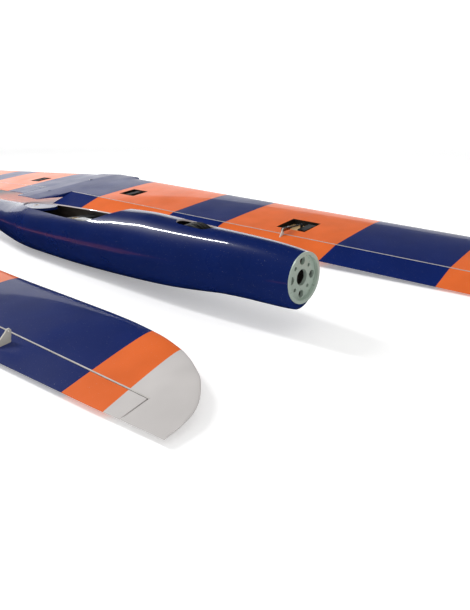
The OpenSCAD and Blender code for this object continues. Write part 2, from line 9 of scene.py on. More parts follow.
import bmesh
import bpy
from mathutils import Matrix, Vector


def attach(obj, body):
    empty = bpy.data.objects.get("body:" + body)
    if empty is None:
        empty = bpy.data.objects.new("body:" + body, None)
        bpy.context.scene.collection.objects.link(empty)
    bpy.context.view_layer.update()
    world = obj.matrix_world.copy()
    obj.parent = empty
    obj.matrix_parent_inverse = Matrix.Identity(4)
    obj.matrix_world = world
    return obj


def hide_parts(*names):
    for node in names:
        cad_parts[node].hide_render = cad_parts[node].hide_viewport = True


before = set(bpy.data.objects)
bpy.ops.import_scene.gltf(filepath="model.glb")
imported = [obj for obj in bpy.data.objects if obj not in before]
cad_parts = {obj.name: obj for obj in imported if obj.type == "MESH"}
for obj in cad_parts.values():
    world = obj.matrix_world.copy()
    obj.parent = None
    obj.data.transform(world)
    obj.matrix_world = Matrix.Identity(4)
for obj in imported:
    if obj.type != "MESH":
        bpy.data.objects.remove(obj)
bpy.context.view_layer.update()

log = logging.getLogger("sailplane")
logging.basicConfig(level=logging.INFO, format="%(message)s")

MM = 0.001
Point = tuple[float, float, float]
Pair = tuple[float, float]


# ---------------------------------------------------------------- colours and nodes


def linear(hex_colour: str) -> tuple[float, float, float, float]:
    """Turn an sRGB hex colour into the linear RGBA that a shader socket takes.

    Args:
        hex_colour: six hex digits, with or without a leading #.
    Returns:
        Linear red, green, blue and an alpha of 1.
    """
    text = hex_colour.lstrip("#")
    parts = [int(text[i : i + 2], 16) / 255 for i in (0, 2, 4)]
    out = [p / 12.92 if p <= 0.04045 else ((p + 0.055) / 1.055) ** 2.4 for p in parts]
    return out[0], out[1], out[2], 1.0


class Graph:
    """A material's node tree, with one short way to add and join nodes."""

    def __init__(self, name: str) -> None:
        """Make a material with a Principled shader joined to its output."""
        self.material = bpy.data.materials.new(name)
        self.material.use_nodes = True
        self.tree = self.material.node_tree
        self.tree.nodes.clear()
        self.out = self.add("ShaderNodeOutputMaterial")
        self.bsdf = self.add("ShaderNodeBsdfPrincipled")
        self.link(self.bsdf, "BSDF", self.out, "Surface")

    def add(self, kind: str, values: dict | None = None, **props: object) -> bpy.types.Node:
        """Add a node.

        Args:
            kind: the node's Blender type name.
            values: socket name or index to constant value.
            props: node attributes to set.
        Returns:
            The new node.
        """
        node = self.tree.nodes.new(kind)
        for key, value in props.items():
            setattr(node, key, value)
        for key, value in (values or {}).items():
            node.inputs[key].default_value = value
        return node

    def link(self, a: bpy.types.Node, out: str | int, b: bpy.types.Node, into: str | int) -> None:
        """Join output `out` of node a to input `into` of node b."""
        self.tree.links.new(a.outputs[out], b.inputs[into])

    def coords(self) -> bpy.types.Node:
        """Object coordinates in millimetres."""
        tex = self.add("ShaderNodeTexCoord")
        scale = self.add("ShaderNodeVectorMath", {1: (1000.0, 1000.0, 1000.0)}, operation="MULTIPLY")
        self.link(tex, "Object", scale, 0)
        return scale

    def noise(self, where: bpy.types.Node, size_mm: float, detail: float = 3.0) -> bpy.types.Node:
        """Noise whose blobs are about size_mm across."""
        node = self.add("ShaderNodeTexNoise", {"Scale": 1.0 / size_mm, "Detail": detail})
        self.link(where, 0, node, "Vector")
        return node

    def spread(self, source: bpy.types.Node, low: float, high: float) -> bpy.types.Node:
        """Map a 0.3 to 0.7 noise value onto low to high."""
        node = self.add("ShaderNodeMapRange", {1: 0.3, 2: 0.7, 3: low, 4: high})
        self.link(source, 0, node, 0)
        return node

    def bump(self, source: bpy.types.Node, height_mm: float, strength: float = 1.0) -> bpy.types.Node:
        """Bump from a height source, joined to the shader's normal."""
        node = self.add("ShaderNodeBump", {"Strength": strength, "Distance": height_mm * MM})
        self.link(source, 0, node, "Height")
        self.link(node, "Normal", self.bsdf, "Normal")
        return node


# ---------------------------------------------------------------- finishes


@dataclass(frozen=True)
class Finish:
    """What every finish has: the name of its material and the record's slot."""

    name: str
    slot: str

    def build(self) -> bpy.types.Material:
        """Make the material's nodes."""
        raise NotImplementedError


@dataclass(frozen=True)
class LacqueredSkin(Finish):
    """Clear-coated colour over glass cloth: deep gloss, faint orange peel, faint dust."""

    colour: str = "#22335f"
    # upper ends of colour bands across the span in mm, with their colours, from the root outward
    bands: tuple[tuple[float, str], ...] = ()
    roughness: float = 0.3
    peel_mm: float = 0.01
    coat: float = 0.3

    def build(self) -> bpy.types.Material:
        """Make the lacquer: banded colour, mottling, coat and orange peel."""
        g = Graph(self.name)
        where = g.coords()
        base = self._colour(g)
        mottle = g.noise(where, 38.0, 2.0)
        shade = g.spread(mottle, 0.93, 1.06)
        tint = g.add("ShaderNodeVectorMath", operation="SCALE")
        g.link(base, 0, tint, 0)
        g.link(shade, 0, tint, "Scale")
        dust = g.noise(where, 0.8, 1.0)
        flecks = g.add("ShaderNodeMapRange", {1: 0.72, 2: 0.8, 3: 0.0, 4: 0.3})
        g.link(dust, 0, flecks, 0)
        mixed = g.add("ShaderNodeMix", {7: linear("#c9c7c4")}, data_type="RGBA")
        g.link(flecks, 0, mixed, 0)
        g.link(tint, 0, mixed, 6)
        g.link(mixed, 2, g.bsdf, "Base Color")
        # the cloth under the lacquer scatters a little, so the base is rougher than the coat
        rough = g.spread(g.noise(where, 55.0, 3.0), self.roughness * 0.85, self.roughness * 1.2)
        g.link(rough, 0, g.bsdf, "Roughness")
        g.bsdf.inputs["Specular IOR Level"].default_value = 0.08
        g.bsdf.inputs["Coat Weight"].default_value = self.coat
        g.bsdf.inputs["Coat Roughness"].default_value = 0.045
        g.bsdf.inputs["Coat IOR"].default_value = 1.5
        peel = g.noise(where, 3.2, 2.0)
        g.bump(peel, self.peel_mm, 0.5)
        return g.material

    def _colour(self, g: Graph) -> bpy.types.Node:
        """Plain colour, or bands by the span value kept on the skin."""
        if not self.bands:
            plain = g.add("ShaderNodeRGB")
            plain.outputs[0].default_value = linear(self.colour)
            return plain
        span = g.add("ShaderNodeAttribute", attribute_name="span_mm")
        low, high = -1000.0, 1000.0
        scaled = g.add("ShaderNodeMapRange", {1: low, 2: high, 3: 0.0, 4: 1.0})
        g.link(span, "Fac", scaled, 0)
        ramp = g.add("ShaderNodeValToRGB")
        ramp.color_ramp.interpolation = "CONSTANT"
        start = low
        stops = []
        for end, colour in self.bands:
            stops.append(((start - low) / (high - low), colour))
            start = end
        stops.append(((start - low) / (high - low), self.colour))
        elements = ramp.color_ramp.elements
        while len(elements) > 1:
            elements.remove(elements[-1])
        elements[0].position, elements[0].color = 0.0, linear(stops[0][1])
        for position, colour in stops[1:]:
            elements.new(position).color = linear(colour)
        g.link(scaled, 0, ramp, "Fac")
        return ramp


@dataclass(frozen=True)
class TurnedMetal(Finish):
    """Lathe-turned and bead-blasted aluminium: a pale matt face with fine rings about the x axis."""

    colour: str = "#bdccc0"
    roughness: float = 0.32
    groove_mm: float = 0.5

    def build(self) -> bpy.types.Material:
        """Make the metal, its tool marks and its handling marks."""
        g = Graph(self.name)
        where = g.coords()
        g.bsdf.inputs["Base Color"].default_value = linear(self.colour)
        g.bsdf.inputs["Metallic"].default_value = 0.3
        split = g.add("ShaderNodeSeparateXYZ")
        g.link(where, 0, split, 0)
        flat = g.add("ShaderNodeCombineXYZ")
        g.link(split, "Y", flat, "X")
        g.link(split, "Z", flat, "Y")
        radius = g.add("ShaderNodeVectorMath", operation="LENGTH")
        g.link(flat, 0, radius, 0)
        wave = g.add("ShaderNodeMath", {1: 6.2832 / self.groove_mm}, operation="MULTIPLY")
        g.link(radius, "Value", wave, 0)
        ripple = g.add("ShaderNodeMath", operation="SINE")
        g.link(wave, 0, ripple, 0)
        g.bump(ripple, 0.004, 0.5)
        rough = g.spread(g.noise(where, 4.0, 4.0), self.roughness * 0.8, self.roughness * 1.35)
        g.link(rough, 0, g.bsdf, "Roughness")
        return g.material


@dataclass(frozen=True)
class Laminate(Finish):
    """Carbon cloth in resin: 2 mm tows in a twill, with a soft sheen."""

    tow_mm: float = 2.0
    dark: str = "#17181a"
    light: str = "#2b2d30"

    def build(self) -> bpy.types.Material:
        """Make the twill out of two crossed waves."""
        g = Graph(self.name)
        where = g.coords()
        weave = g.add("ShaderNodeTexChecker", {"Scale": 1.0 / self.tow_mm, "Color1": linear(self.dark),
                                              "Color2": linear(self.light)})
        turn = g.add("ShaderNodeMapping", {"Rotation": (0.0, 0.0, 0.785)})
        g.link(where, 0, turn, "Vector")
        g.link(turn, 0, weave, "Vector")
        g.link(weave, "Color", g.bsdf, "Base Color")
        rough = g.spread(g.noise(where, 9.0), 0.38, 0.55)
        g.link(rough, 0, g.bsdf, "Roughness")
        g.bump(weave, 0.03, 0.4)
        return g.material


@dataclass(frozen=True)
class Moulded(Finish):
    """Moulded plastic or rubber: fine spark-eroded grain and slight colour drift."""

    colour: str = "#1d1e20"
    roughness: float = 0.45
    grain_mm: float = 0.25
    grain_height_mm: float = 0.02

    def build(self) -> bpy.types.Material:
        """Make the plastic's colour, grain and wear."""
        g = Graph(self.name)
        where = g.coords()
        drift = g.spread(g.noise(where, 12.0), 0.9, 1.1)
        tint = g.add("ShaderNodeVectorMath", {0: linear(self.colour)[:3]}, operation="SCALE")
        g.link(drift, 0, tint, "Scale")
        g.link(tint, 0, g.bsdf, "Base Color")
        rough = g.spread(g.noise(where, 6.0), self.roughness * 0.85, self.roughness * 1.2)
        g.link(rough, 0, g.bsdf, "Roughness")
        g.bump(g.noise(where, self.grain_mm, 1.0), self.grain_height_mm, 0.4)
        return g.material


@dataclass(frozen=True)
class Plywood(Finish):
    """Thin sealed birch ply: long grain along x."""

    colour: str = "#c9a877"

    def build(self) -> bpy.types.Material:
        """Make the grain from noise stretched along x."""
        g = Graph(self.name)
        where = g.coords()
        stretch = g.add("ShaderNodeMapping", {"Scale": (0.05, 1.0, 1.0)})
        g.link(where, 0, stretch, "Vector")
        grain = g.noise(stretch, 0.7, 4.0)
        shade = g.spread(grain, 0.75, 1.12)
        tint = g.add("ShaderNodeVectorMath", {0: linear(self.colour)[:3]}, operation="SCALE")
        g.link(shade, 0, tint, "Scale")
        g.link(tint, 0, g.bsdf, "Base Color")
        g.bsdf.inputs["Roughness"].default_value = 0.6
        g.bump(grain, 0.04, 0.4)
        return g.material


@dataclass(frozen=True)
class DrawnMetal(Finish):
    """Wire, brass or steel: metal with fine lengthwise scratches."""

    colour: str = "#9b9da0"
    roughness: float = 0.3

    def build(self) -> bpy.types.Material:
        """Make the metal and its scratches."""
        g = Graph(self.name)
        where = g.coords()
        g.bsdf.inputs["Base Color"].default_value = linear(self.colour)
        g.bsdf.inputs["Metallic"].default_value = 1.0
        rough = g.spread(g.noise(where, 1.5, 4.0), self.roughness * 0.7, self.roughness * 1.4)
        g.link(rough, 0, g.bsdf, "Roughness")
        g.bump(g.noise(where, 0.4, 2.0), 0.01, 0.3)
        return g.material


NAVY = "#0f2362"
ORANGE = "#e26a30"
PALE = "#cac6c4"


class Look(Enum):
    """Every finish in the scene."""

    POD = LacqueredSkin("navy_gel_coat", "gloss_navy", colour="#0f225c", coat=0.6)
    TAIL_ORANGE = LacqueredSkin("orange_lacquer_tail", "gloss_orange", colour=ORANGE)
    TAIL_NAVY = LacqueredSkin("navy_lacquer_tail", "gloss_navy", colour=NAVY)
    WING = LacqueredSkin(
        "wing_lacquer_bands", "gloss_orange", colour=ORANGE, roughness=0.34, coat=0.28,
        bands=((-778, ORANGE), (-638, NAVY), (-451, ORANGE), (-340, NAVY), (-139, ORANGE), (139, NAVY),
               (340, ORANGE), (451, NAVY), (638, ORANGE), (778, NAVY)))
    OUTER = LacqueredSkin(
        "outer_panel_lacquer_bands", "gloss_navy", colour=PALE, roughness=0.34, coat=0.3,
        bands=((-225, ORANGE), (0, NAVY), (32, ORANGE)))
    SKIN_EDGE = LacqueredSkin(
        "trimmed_glass_cloth_edge", "gloss_navy", colour="#cdc3c2", roughness=0.5, coat=0.2)
    POD_INSIDE = Laminate("bare_inside_of_the_pod", "carbon", tow_mm=1.6, dark="#6a625d", light="#7d746e")
    RING = TurnedMetal("turned_aluminium", "turned_aluminium")
    CARBON = Laminate("carbon_twill", "carbon")
    PLY = Plywood("birch_ply", "plywood")
    BRASS = DrawnMetal("turned_brass", "brass", colour="#b58f3d")
    STEEL = DrawnMetal("drawn_steel", "steel_wire", colour="#7d7f83")
    BLACK = Moulded("black_nylon_case", "black_case", colour="#1b1c1e")
    GREY = Moulded("grey_abs_case", "grey_case", colour="#b4b6b8", roughness=0.38)
    RUBBER = Moulded("silicone_lead", "lead_rubber", colour="#08080a", roughness=0.6)
    NYLON = Moulded("white_nylon", "white_nylon", colour="#d2cdc2", roughness=0.42)
    TAPE = Moulded(
        "silver_hinge_seal", "gloss_orange", colour="#c8c4c0", roughness=0.25, grain_height_mm=0.005)
    # painted shade: near-black colour that stands in for the shade inside the bolt bores and the servo bays
    SHADOW = Moulded("painted_shade_near_black", "carbon", colour="#0b0b0c", roughness=0.7)


class Paints:
    """Materials, each built once when it is first asked for."""

    def __init__(self) -> None:
        """Start with no materials made."""
        self._made: dict[Look, bpy.types.Material] = {}

    def get(self, look: Look) -> bpy.types.Material:
        """The material of a finish."""
        if look not in self._made:
            self._made[look] = look.value.build()
        return self._made[look]


# ---------------------------------------------------------------- curves and sections


@dataclass(frozen=True)
class Track:
    """A smooth curve y(x) through stations, with no overshoot between them."""

    xs: tuple[float, ...]
    ys: tuple[float, ...]

    @staticmethod
    def of(rows: Sequence[Sequence[float]], column: int) -> "Track":
        """Track of one column of a station table against its first column."""
        ordered = sorted(rows, key=lambda r: r[0])
        return Track(tuple(r[0] for r in ordered), tuple(r[column] for r in ordered))

    def _slopes(self) -> list[float]:
        """Tangents at the stations, held flat at turning points."""
        n = len(self.xs)
        d = [(self.ys[i + 1] - self.ys[i]) / (self.xs[i + 1] - self.xs[i]) for i in range(n - 1)]
        out = [d[0]]
        for i in range(1, n - 1):
            same = d[i - 1] * d[i] > 0
            out.append(2 * d[i - 1] * d[i] / (d[i - 1] + d[i]) if same else 0.0)
        return out + [d[-1]]

    def __call__(self, x: float) -> float:
        """Value at x, held constant past the ends."""
        if x <= self.xs[0]:
            return self.ys[0]
        if x >= self.xs[-1]:
            return self.ys[-1]
        i = max(k for k in range(len(self.xs) - 1) if self.xs[k] <= x)
        m = self._slopes()
        h = self.xs[i + 1] - self.xs[i]
        t = (x - self.xs[i]) / h
        return (
            (2 * t**3 - 3 * t**2 + 1) * self.ys[i]
            + (t**3 - 2 * t**2 + t) * h * m[i]
            + (3 * t**2 - 2 * t**3) * self.ys[i + 1]
            + (t**3 - t**2) * h * m[i + 1]
        )


@dataclass(frozen=True)
class Foil:
    """Airfoil lying bottom up, in fractions of its chord."""

    thick: float
    camber: float

    def half(self, x: float) -> float:
        """Half thickness at fraction x."""
        poly = 0.2969 * math.sqrt(x) - 0.126 * x - 0.3516 * x**2 + 0.2843 * x**3 - 0.1015 * x**4
        return 5 * self.thick * poly + 0.0012

    def mean(self, x: float) -> float:
        """Height of the mean line at fraction x."""
        if x < 0.4:
            return self.camber / 0.16 * (0.8 * x - x * x)
        return self.camber / 0.36 * (0.2 + 0.8 * x - x * x)

    def up(self, x: float) -> float:
        """Face that looks up on the table."""
        return self.half(x) - self.mean(x)

    def down(self, x: float) -> float:
        """Face that looks down on the table."""
        return -self.half(x) - self.mean(x)


def bunched(a: float, b: float, n: int, extra: Sequence[float] = ()) -> list[float]:
    """Fractions from a to b, closer together near a, with extra values put in.

    Args:
        a: first fraction.
        b: last fraction.
        n: number of steps.
        extra: fractions that must be in the list.
    Returns:
        Sorted fractions, with near-duplicates of the extra values left out.
    """
    values = [a + (b - a) * (1 - math.cos(math.pi / 2 * i / n)) for i in range(n + 1)]
    kept = [v for v in values if all(abs(v - e) > 0.008 for e in extra) or v in (a, b)]
    return sorted(kept + [e for e in extra if a < e < b])


def steps(a: float, b: float, n: int) -> list[float]:
    """n even steps from a to b."""
    return [a + (b - a) * i / n for i in range(n + 1)]


# ---------------------------------------------------------------- mesh building


class Piece:
    """A mesh in the making, with a span value on every vertex."""

    def __init__(self, name: str) -> None:
        """Start an empty mesh."""
        self.name = name
        self.bm = bmesh.new()
        self.span = self.bm.verts.layers.float.new("span_mm")

    def vert(self, p: Point, span: float = 0.0) -> bmesh.types.BMVert:
        """Add a vertex at p, in mm."""
        v = self.bm.verts.new(Vector(p) * MM)
        v[self.span] = span
        return v

    def face(self, verts: Sequence[bmesh.types.BMVert], material: int = 0) -> bmesh.types.BMFace | None:
        """Add a face, leaving out repeated corners; nothing when fewer than three are left."""
        corners = []
        for v in verts:
            if v not in corners:
                corners.append(v)
        if len(corners) < 3 or self.bm.faces.get(corners) is not None:
            return None
        f = self.bm.faces.new(corners)
        f.material_index = material
        return f

    def loft(
        self,
        rings: Sequence[Sequence[Point]],
        spans: Sequence[Sequence[float]] | None = None,
        closed: bool = True,
        caps: bool = True,
        keep: Callable[[int, int], bool] | None = None,
        material: int = 0,
    ) -> list[list[bmesh.types.BMVert]]:
        """Skin over rings that all have the same number of points.

        Args:
            rings: the rings, in mm.
            spans: span value of each point.
            closed: join each ring's last point to its first.
            caps: close the first and last rings.
            keep: says whether to draw the quad between ring i and i+1 at point j.
            material: material index of the quads.
        Returns:
            The vertices, ring by ring.
        """
        grid = [[self.vert(p, spans[i][j] if spans else 0.0) for j, p in enumerate(ring)]
                for i, ring in enumerate(rings)]
        n = len(rings[0])
        for i in range(len(rings) - 1):
            for j in range(n if closed else n - 1):
                k = (j + 1) % n
                if keep is None or keep(i, j):
                    self.face((grid[i][j], grid[i][k], grid[i + 1][k], grid[i + 1][j]), material)
        if caps:
            self.face(list(reversed(grid[0])), material)
            self.face(grid[-1], material)
        return grid

    def finish(
        self, looks: Sequence[Look], paints: Paints, body: str, replaced: Sequence[str] = (),
        sharp_deg: float = 38.0, bevel_mm: float = 0.0,
    ) -> bpy.types.Object:
        """Turn the mesh into an object that rides a body.

        Args:
            looks: finishes, by material index.
            paints: the built materials.
            body: CAD body to ride.
            replaced: CAD nodes this piece stands for.
            sharp_deg: edges sharper than this are drawn hard.
            bevel_mm: width of a small bevel on those edges.
        Returns:
            The object.
        """
        bmesh.ops.remove_doubles(self.bm, verts=self.bm.verts, dist=1e-6)
        bmesh.ops.recalc_face_normals(self.bm, faces=self.bm.faces)
        mesh = bpy.data.meshes.new(self.name)
        self.bm.to_mesh(mesh)
        self.bm.free()
        obj = bpy.data.objects.new(self.name, mesh)
        bpy.context.scene.collection.objects.link(obj)
        for look in looks:
            mesh.materials.append(paints.get(look))
        mesh.shade_smooth()
        mesh.set_sharp_from_angle(angle=math.radians(sharp_deg))
        if bevel_mm:
            mod = obj.modifiers.new("edge", "BEVEL")
            mod.width, mod.segments, mod.angle_limit = bevel_mm * MM, 2, math.radians(sharp_deg)
        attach(obj, body)
        if replaced:
            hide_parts(*replaced)
        log.info("%s: %d faces on %s", self.name, len(mesh.polygons), body)
        return obj


# ---------------------------------------------------------------- fuselage


@dataclass
class Fuselage:
    """Pod with its wing seat, boom, nose ring and V-tail."""

    paints: Paints
    wall: float = 1.6
    ring_z: float = 47.5
    recess: float = 3.1
    sides: int = 84
    # x, half width, crown, centre and belly heights above the table, x from the ring's rim
    stations: tuple[tuple[float, ...], ...] = (
        (-1.2, 21.5, 69, 47.5, 26), (-4, 21.8, 69.4, 47.4, 20.2), (-14, 22.8, 70.7, 47.2, 19.2),
        (-30, 24.1, 72.2, 46.8, 18.6), (-50, 25.6, 73.3, 46.2, 18.1), (-80, 27.9, 74.4, 45.3, 16.4),
        (-105, 30.2, 75, 44.4, 13.4), (-130, 32.4, 76, 43.5, 10.4), (-160, 34.4, 77.3, 42.5, 7.5),
        (-195, 35.3, 78.6, 41.3, 5.2), (-230, 35.7, 77.8, 40.1, 3.4), (-265, 36.1, 75.6, 39, 2),
        (-300, 36.6, 73.9, 38.1, 0.9), (-340, 37, 72.2, 37.3, 0.1), (-385, 37, 69.2, 36.9, 0),
        (-427, 36.6, 66.3, 36.7, 0), (-448, 35.7, 64.1, 36.8, 0.6), (-465, 34.4, 61.9, 37, 1.4),
        (-490, 31.6, 59.2, 37.4, 4), (-520, 28, 57.8, 38, 8.4), (-560, 23.6, 57.2, 38.8, 14.6),
        (-600, 19.9, 57, 39.6, 19.8), (-640, 17, 57, 40, 23))
    # the wing seat seen from the side: x and height of the cut
    seat: tuple[Pair, ...] = ((-464, 61.8), (-440, 62), (-300, 62), (-285, 62.2), (-274, 63.6), (-262, 67),
                              (-250, 71.2), (-240, 74.6), (-231, 77.6))
    oval: tuple[float, float, float] = (-139, -111, 9.5)
    tracks: list[Track] = field(default_factory=list)

    def __post_init__(self) -> None:
        """Make the curves through the stations and along the seat's edge."""
        self.tracks = [Track.of(self.stations, k) for k in (1, 2, 3, 4)]
        self.cut = Track(tuple(p[0] for p in self.seat), tuple(p[1] for p in self.seat))

    def opening(self, x: float) -> float:
        """Angle above the horizontal at which the shell stops at x; 90 degrees where it is closed."""
        w, top, mid, _ = (t(x) for t in self.tracks)
        back, front, half = self.oval
        if back - half < x < front + half:
            end = back if x < back else front if x > front else x
            y = math.sqrt(max(half**2 - (x - end) ** 2, 0.0))
            return math.degrees(math.acos(min(1.0, y / w)))
        if self.seat[0][0] <= x <= self.seat[-1][0] and self.cut(x) < top:
            return math.degrees(math.asin((self.cut(x) - mid) / (top - mid)))
        return 90.0

    def ring(self, x: float, shrink: float) -> list[Point]:
        """Points from the right edge of the opening round the belly to the left edge."""
        w, top, mid, low = (t(x) for t in self.tracks)
        start = self.opening(x)
        out = []
        for k in range(self.sides + 1):
            a = math.radians(start + (180 - 2 * start - 360) * k / self.sides)
            s = math.sin(a)
            rise = (top - mid - shrink) if s >= 0 else (mid - low - shrink)
            out.append((x + self.recess, (w - shrink) * math.cos(a), mid + rise * s - self.ring_z))
        return out

    def xs(self) -> list[float]:
        """Places of the rings, close together where the openings end."""
        back, front, half = self.oval
        marks = [-1.2, -2.2, -3.2, -4.2, -6, -9]
        marks += steps(-13, front + half + 2, 16)
        marks += [front + half * math.cos(math.pi / 2 * k / 12) for k in range(13)]
        marks += steps(front, back, 8)[1:]
        marks += [back - half * math.sin(math.pi / 2 * k / 12) for k in range(1, 13)]
        marks += steps(back - half - 2, -226, 16)
        marks += [-228 - 60 * (k / 30) ** 1.3 for k in range(31)]
        marks += steps(-292, -455, 40)
        marks += [-457, -459, -460.5, -461.5, -462.3, -463, -463.6, -464, -464.2, -466]
        marks += steps(-470, -640, 44)
        return sorted(set(marks), reverse=True)

    def pod(self) -> None:
        """Glass-cloth shell: navy outside, dark inside, with a pale trimmed edge."""
        piece = Piece("pod_shell")
        xs = self.xs()
        outer = piece.loft([self.ring(x, 0.0) for x in xs], closed=False, caps=False)
        inner = piece.loft([self.ring(x, self.wall) for x in xs], closed=False, caps=False, material=1)
        for i in range(len(xs) - 1):
            shut = self.opening(xs[i]) > 89.9 and self.opening(xs[i + 1]) > 89.9
            for j in (0, -1):
                if not shut:
                    piece.face((outer[i][j], outer[i + 1][j], inner[i + 1][j], inner[i][j]), 2)
        for i in (0, -1):
            for j in range(self.sides):
                piece.face((outer[i][j], outer[i][j + 1], inner[i][j + 1], inner[i][j]))
        looks = (Look.POD, Look.POD_INSIDE, Look.SKIN_EDGE)
        piece.finish(looks, self.paints, "fuselage", ["fuselage_pod"], 50.0)

    def build(self) -> None:
        """Make the pod; the rest of the fuselage keeps its CAD shapes."""
        self.pod()


@dataclass
class VTail:
    """Two tail halves with ruddervators."""

    paints: Paints
    vee: float = 37.0
    span: float = 225.0
    root: float = 105.0
    tip: float = 68.0
    hinge: float = 0.66
    s0: float = 10.6
    lead: float = -1230.0
    axis_z: float = -7.5
    foil: Foil = Foil(0.075, 0.0)

    def place(self, side: int, s: float, c: float, z: float) -> Point:
        """Point at span s, chord distance c and height z off the surface."""
        a = math.radians(self.vee)
        x = self.lead - 0.16 * (s - self.s0) - c + 3.1
        y = side * (s * math.cos(a) - z * math.sin(a))
        return (x, y, self.axis_z + s * math.sin(a) + z * math.cos(a))

    def skin(
        self, piece: Piece, side: int, a: float, b: float, s1: float, s2: float, cut: float = 0.0,
    ) -> None:
        """Loft from chord fraction a to b between two spans."""
        f_up = bunched(a, b, 16)
        f_down = list(reversed(bunched(a + cut, b, 16)))
        if a == 0:
            f_down = f_down[:-1]
        rings = []
        for s in steps(s1, s2, 12):
            c = self.root + (self.tip - self.root) * (s - self.s0) / self.span
            rings.append([self.place(side, s, c * f, c * self.foil.up(f)) for f in f_up]
                         + [self.place(side, s, c * f, c * self.foil.down(f)) for f in f_down])
        piece.loft(rings)

    def build(self) -> None:
        """Make both halves and both ruddervators."""
        for side, name in ((1, "left"), (-1, "right")):
            half = Piece(f"tail_skin_{name}")
            end = self.s0 + self.span
            self.skin(half, side, 0, self.hinge - 0.018, self.s0, end - 7)
            self.skin(half, side, 0, 1, end - 7, end)
            half.finish((Look.TAIL_ORANGE,), self.paints, "fuselage", [f"tail_half_{name}"], bevel_mm=0.0)
            moving = Piece(f"ruddervator_skin_{name}")
            self.skin(moving, side, self.hinge, 1, self.s0 + 3, end - 7.6)
            moving.finish((Look.TAIL_NAVY,), self.paints, f"ruddervator_{name}_body", [f"ruddervator_{name}"])


# ---------------------------------------------------------------- wing centre panel


@dataclass(frozen=True)
class Bay:
    """Servo bay: span of its middle, chord fraction, size along span and chord."""

    s: float
    f: float
    wide: float
    deep: float


